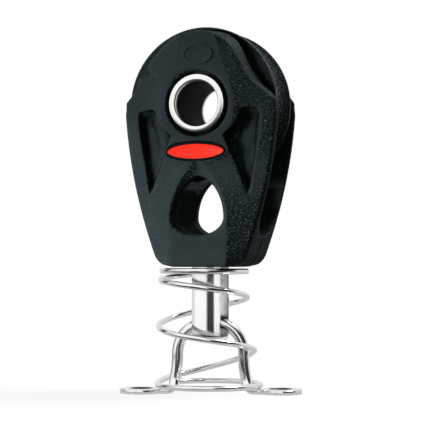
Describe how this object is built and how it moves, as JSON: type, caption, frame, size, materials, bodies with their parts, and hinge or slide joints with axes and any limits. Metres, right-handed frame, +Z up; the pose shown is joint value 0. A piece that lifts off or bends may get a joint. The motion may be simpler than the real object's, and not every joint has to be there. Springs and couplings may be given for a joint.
{
  "type": "stand-up foot block",
  "caption": "Sprung stand-up foot block: a sheave between black cheeks on a steel loop and coil spring over a deck eye strap.",
  "frame": {"origin": "on the deck plane under the middle of the sheave, at the height of the eye strap's flat underside", "axes": "+Z up, away from the deck; Y along the sheave's axle, with the front badge facing -Y; X across the sheave"},
  "size_m": [0.0684, 0.042, 0.1412],
  "materials": {
    "moulded_black": "fine moulded grain, satin",
    "polished_steel": "polished stainless steel",
    "spring_steel": "bright drawn stainless wire",
    "badge_red": "gloss",
    "bearing_grey": "satin"
  },
  "bodies": {
    "base": {"eye_strap": "polished_steel"},
    "spring_foot": {"spring": "spring_steel"},
    "block": {"stem_loop": "polished_steel", "head_pin": "polished_steel", "front_cheek": "moulded_black", "rear_cheek": "moulded_black", "hub_bush": "polished_steel", "front_badge": "badge_red", "rear_badge": "badge_red"},
    "sheave": {"sheave": "moulded_black", "bearing_sleeve": "bearing_grey"}
  },
  "joints": [
    {"name": "block_twist", "type": "hinge", "parent": "base", "child": "spring_foot", "pos_m": [0, 0, 0.0276], "axis": [0, 0, 1], "range_deg": [0, 32]},
    {"name": "block_tilt", "type": "hinge", "parent": "spring_foot", "child": "block", "pos_m": [0, 0, 0.0276], "axis": [1, 0, 0], "range_deg": [-35, 35], "stiffness_Nm_per_rad": 1.2, "deforming": ["spring"]},
    {"name": "sheave_spin", "type": "hinge", "parent": "block", "child": "sheave", "pos_m": [0, 0, 0.1112], "axis": [0, 1, 0], "continuous": true}
  ]
}
